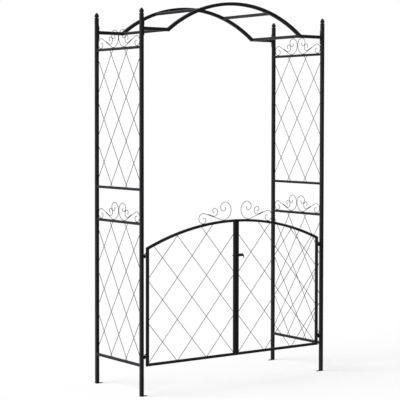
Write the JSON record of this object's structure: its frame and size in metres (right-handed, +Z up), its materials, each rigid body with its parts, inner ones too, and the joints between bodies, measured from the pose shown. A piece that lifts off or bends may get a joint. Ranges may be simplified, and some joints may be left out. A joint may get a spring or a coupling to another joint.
{
  "type": "garden arch with gate",
  "caption": "Walk-through garden arch of square steel tube with a curved top, diamond lattice sides, wire scrolls and an arched two-leaf gate with a slide latch.",
  "frame": {"origin": "on the ground, midway between the four posts", "axes": "+X to the right and +Y to the rear as seen from the gate side, +Z up"},
  "size_m": [1.281, 0.468, 2.101],
  "materials": {
    "frame_paint": "satin black powder coat on square steel tube",
    "lattice_wire": "satin black powder coat on steel wire",
    "scroll_wire": "satin black powder coat on bent steel wire",
    "fittings": "satin black paint on steel rod and barrel",
    "finial": "matt black moulding",
    "fastener": "black plated steel",
    "sleeve": "black painted steel, inside the posts"
  },
  "bodies": {
    "frame": {"arch_bolts": "fastener", "arch_end_plates": "frame_paint", "finials": "finial", "foot_plates": "frame_paint", "front_arch_bow": "frame_paint", "front_left_arch_bar": "frame_paint", "front_left_lower_post": "frame_paint", "front_left_upper_post": "frame_paint", "front_right_arch_bar": "frame_paint", "front_right_lower_post": "frame_paint", "front_right_upper_post": "frame_paint", "joint_sleeves": "sleeve", "left_hinge_eyes": "fittings", "left_inner_cross_bar": "frame_paint", "left_lower_bottom_rail": "frame_paint", "left_lower_lattice": "lattice_wire", "left_lower_scroll": "scroll_wire", "left_lower_top_rail": "frame_paint", "left_outer_cross_bar": "frame_paint", "left_upper_bottom_rail": "frame_paint", "left_upper_lattice": "lattice_wire", "left_upper_scroll": "scroll_wire", "left_upper_top_rail": "frame_paint", "rear_arch_bow": "frame_paint", "rear_left_arch_bar": "frame_paint", "rear_left_lower_post": "frame_paint", "rear_left_upper_post": "frame_paint", "rear_right_arch_bar": "frame_paint", "rear_right_lower_post": "frame_paint", "rear_right_upper_post": "frame_paint", "right_hinge_eyes": "fittings", "right_inner_cross_bar": "frame_paint", "right_lower_bottom_rail": "frame_paint", "right_lower_lattice": "lattice_wire", "right_lower_scroll": "scroll_wire", "right_lower_top_rail": "frame_paint", "right_outer_cross_bar": "frame_paint", "right_upper_bottom_rail": "frame_paint", "right_upper_lattice": "lattice_wire", "right_upper_scroll": "scroll_wire", "right_upper_top_rail": "frame_paint", "weld_nuts": "fastener"},
    "left_leaf": {"latch_keeper": "fittings", "left_hinge_pins": "fittings", "left_leaf_bottom_rail": "frame_paint", "left_leaf_hinge_stile": "frame_paint", "left_leaf_lattice": "lattice_wire", "left_leaf_meeting_stile": "frame_paint", "left_leaf_scroll": "scroll_wire", "left_leaf_top_rail": "frame_paint"},
    "right_leaf": {"latch_barrel": "fittings", "right_hinge_pins": "fittings", "right_leaf_bottom_rail": "frame_paint", "right_leaf_hinge_stile": "frame_paint", "right_leaf_lattice": "lattice_wire", "right_leaf_meeting_stile": "frame_paint", "right_leaf_scroll": "scroll_wire", "right_leaf_top_rail": "frame_paint"},
    "latch_bolt": {"latch_bolt": "fittings"}
  },
  "joints": [
    {"name": "left_gate_swing", "type": "hinge", "parent": "frame", "child": "left_leaf", "pos_m": [-0.6075, -0.2205, 0.47], "axis": [0, 0, 1], "range_deg": [-100, 85]},
    {"name": "right_gate_swing", "type": "hinge", "parent": "frame", "child": "right_leaf", "pos_m": [0.6075, -0.2205, 0.47], "axis": [0, 0, 1], "range_deg": [-85, 100]},
    {"name": "latch_slide", "type": "slide", "parent": "right_leaf", "child": "latch_bolt", "axis": [-1, 0, 0], "range_m": [0, 0.023]}
  ]
}
